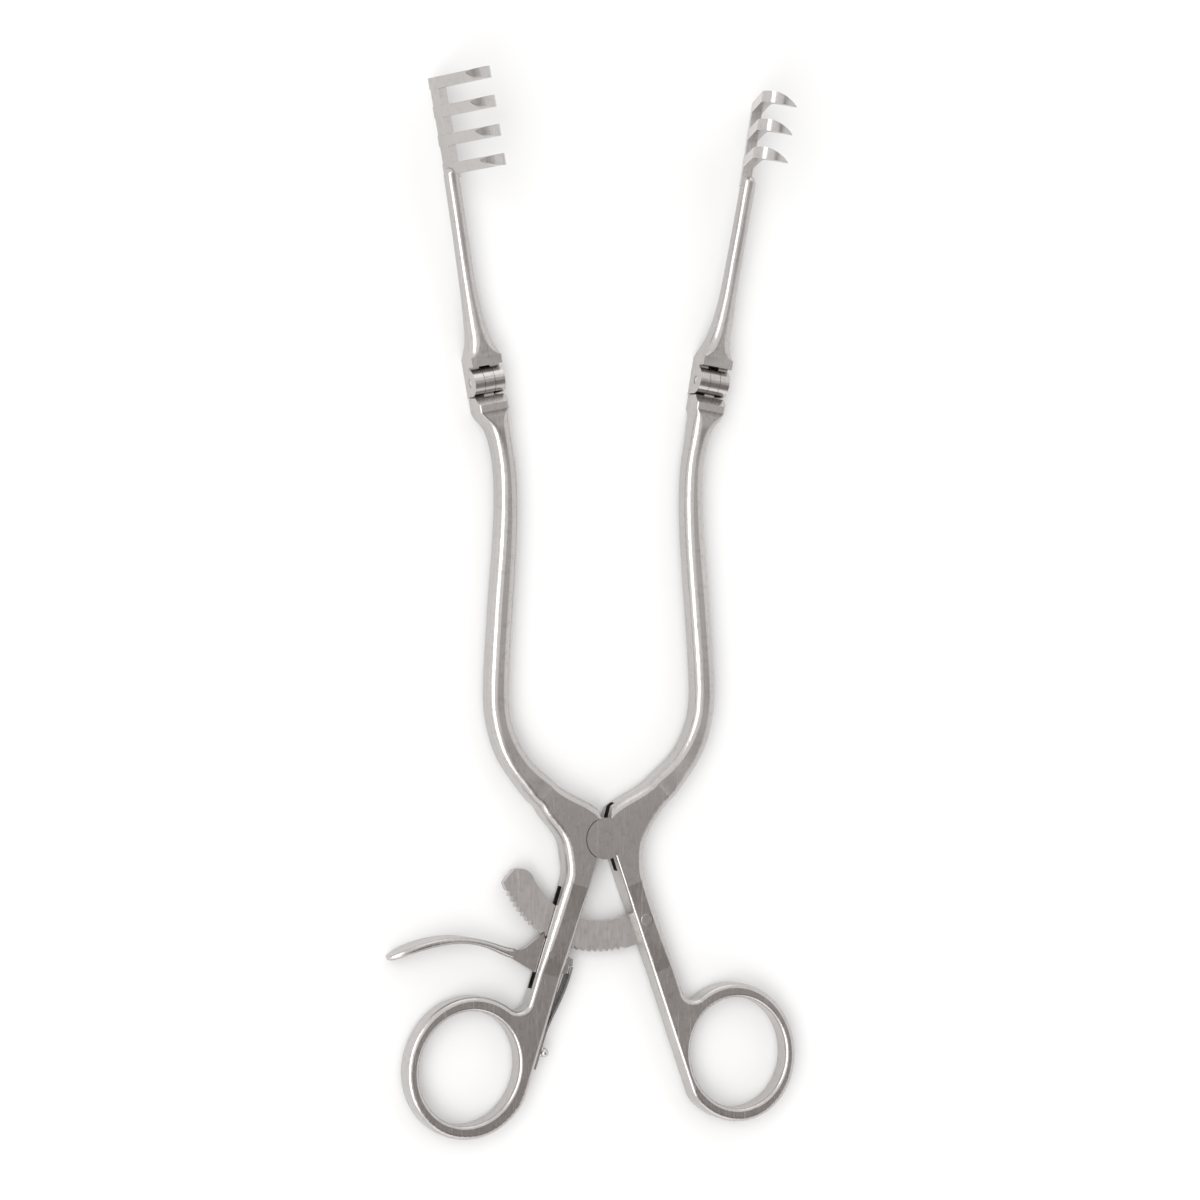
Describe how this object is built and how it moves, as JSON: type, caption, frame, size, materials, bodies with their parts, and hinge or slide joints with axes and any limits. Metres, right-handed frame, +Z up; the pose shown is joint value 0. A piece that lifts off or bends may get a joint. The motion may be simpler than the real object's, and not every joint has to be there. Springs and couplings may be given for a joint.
{
  "type": "self-retaining retractor",
  "caption": "Hand-held spreading retractor: crossed handles with finger rings, a ratchet with a release lever, and hinged blades whose rakes turn outwards to hold tissue apart.",
  "frame": {"origin": "on the pivot axis, at the back face of the box joint, which rests on the table", "axes": "+X to the right of the picture, +Y from the finger rings towards the rakes, +Z up out of the table, the way the prongs point"},
  "size_m": [0.1267, 0.3034, 0.0325],
  "materials": {
    "satin_steel": "satin",
    "bright_steel": "polished",
    "spring_steel": "satin"
  },
  "bodies": {
    "left_handle": {"left_handle": "satin_steel", "lever_pin": "bright_steel", "lever_spring": "spring_steel", "spring_screw": "bright_steel"},
    "right_handle": {"right_handle": "satin_steel", "pivot_pin": "satin_steel", "ratchet_bar": "satin_steel", "ratchet_pin": "satin_steel"},
    "release_lever": {"release_lever": "satin_steel"},
    "left_blade": {"left_blade": "satin_steel", "left_hinge_pin": "bright_steel"},
    "right_blade": {"right_blade": "satin_steel", "right_hinge_pin": "bright_steel"}
  },
  "joints": [
    {"name": "spread", "type": "hinge", "parent": "left_handle", "child": "right_handle", "pos_m": [0, 0, 0.004], "axis": [0, 0, -1], "range_deg": [-22.4, 35.2]},
    {"name": "lever_release", "type": "hinge", "parent": "left_handle", "child": "release_lever", "pos_m": [-0.0169, -0.0329, 0.004], "axis": [0, 0, 1], "range_deg": [0, 12], "stiffness_Nm_per_rad": 0.6, "springref_deg": -6.88, "deforming": ["lever_spring"]},
    {"name": "left_blade_fold", "type": "hinge", "parent": "left_handle", "child": "left_blade", "pos_m": [-0.0352, 0.1317, 0.004], "axis": [0.9848, 0.1736, 0], "range_deg": [0, 90]},
    {"name": "right_blade_fold", "type": "hinge", "parent": "right_handle", "child": "right_blade", "pos_m": [0.0352, 0.1317, 0.004], "axis": [0.9848, -0.1736, 0], "range_deg": [0, 90]}
  ]
}
